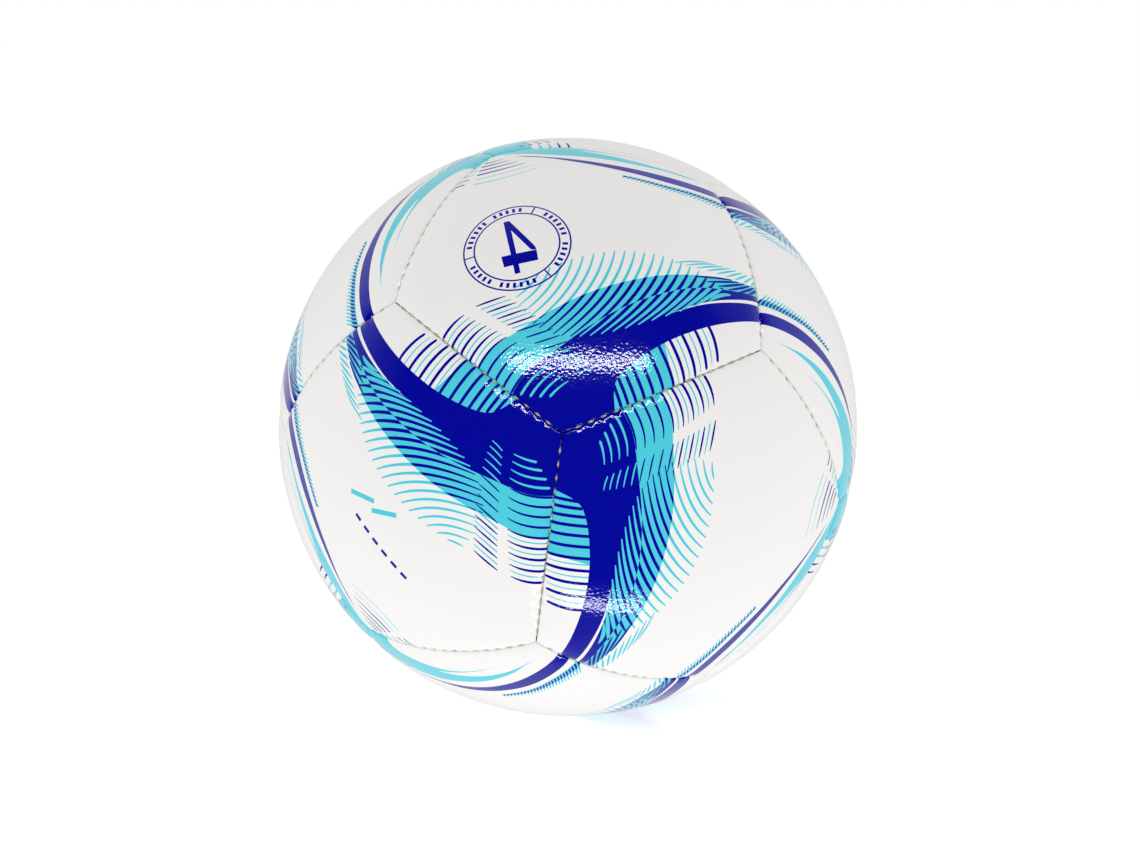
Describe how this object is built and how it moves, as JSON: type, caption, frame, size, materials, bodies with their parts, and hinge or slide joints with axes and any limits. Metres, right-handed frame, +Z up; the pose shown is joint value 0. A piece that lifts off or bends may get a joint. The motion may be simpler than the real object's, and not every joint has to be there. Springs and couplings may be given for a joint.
{
  "type": "football",
  "caption": "Round stitched football of five-sided glossy panels over cloth linings and a rubber bladder, with a needle valve whose plug pulls out.",
  "frame": {"origin": "centre of the ball", "axes": "-Y points at the corner where three panels and their large printed arms meet, the side that faces the viewer; +Z is up; the right-hand seam of that corner climbs 22.5 degrees above +X; the valve is in a panel at the back, upper left"},
  "size_m": [0.206, 0.206, 0.206],
  "materials": {
    "panel_skin": "glossy printed synthetic leather",
    "lining_cloth": "woven cloth stiffened with latex",
    "seam_thread": "waxed twisted thread",
    "bladder_rubber": "matte",
    "valve_rubber": "matte",
    "plug_rubber": "satin"
  },
  "bodies": {
    "ball": {"cover_panel_01": "panel_skin", "cover_panel_02": "panel_skin", "cover_panel_03": "panel_skin", "cover_panel_04": "panel_skin", "cover_panel_05": "panel_skin", "cover_panel_06": "panel_skin", "cover_panel_07": "panel_skin", "cover_panel_08": "panel_skin", "cover_panel_09": "panel_skin", "cover_panel_10": "panel_skin", "cover_panel_11": "panel_skin", "cover_panel_12": "panel_skin", "lining_01": "lining_cloth", "lining_02": "lining_cloth", "lining_03": "lining_cloth", "lining_04": "lining_cloth", "lining_05": "lining_cloth", "lining_06": "lining_cloth", "lining_07": "lining_cloth", "lining_08": "lining_cloth", "lining_09": "lining_cloth", "lining_10": "lining_cloth", "lining_11": "lining_cloth", "lining_12": "lining_cloth", "seam_thread_01": "seam_thread", "seam_thread_02": "seam_thread", "seam_thread_03": "seam_thread", "seam_thread_04": "seam_thread", "seam_thread_05": "seam_thread", "seam_thread_06": "seam_thread", "seam_thread_07": "seam_thread", "seam_thread_08": "seam_thread", "seam_thread_09": "seam_thread", "seam_thread_10": "seam_thread", "seam_thread_11": "seam_thread", "seam_thread_12": "seam_thread", "seam_thread_13": "seam_thread", "seam_thread_14": "seam_thread", "seam_thread_15": "seam_thread", "seam_thread_16": "seam_thread", "seam_thread_17": "seam_thread", "seam_thread_18": "seam_thread", "seam_thread_19": "seam_thread", "seam_thread_20": "seam_thread", "seam_thread_21": "seam_thread", "seam_thread_22": "seam_thread", "seam_thread_23": "seam_thread", "seam_thread_24": "seam_thread", "seam_thread_25": "seam_thread", "seam_thread_26": "seam_thread", "seam_thread_27": "seam_thread", "seam_thread_28": "seam_thread", "seam_thread_29": "seam_thread", "seam_thread_30": "seam_thread", "bladder": "bladder_rubber", "valve_patch": "bladder_rubber", "valve_housing": "valve_rubber"},
    "plug": {"valve_plug": "plug_rubber"}
  },
  "joints": [
    {"name": "plug_pull", "type": "slide", "parent": "ball", "child": "plug", "axis": [-0.4816, 0.7947, 0.3696], "range_m": [0, 0.02]}
  ]
}
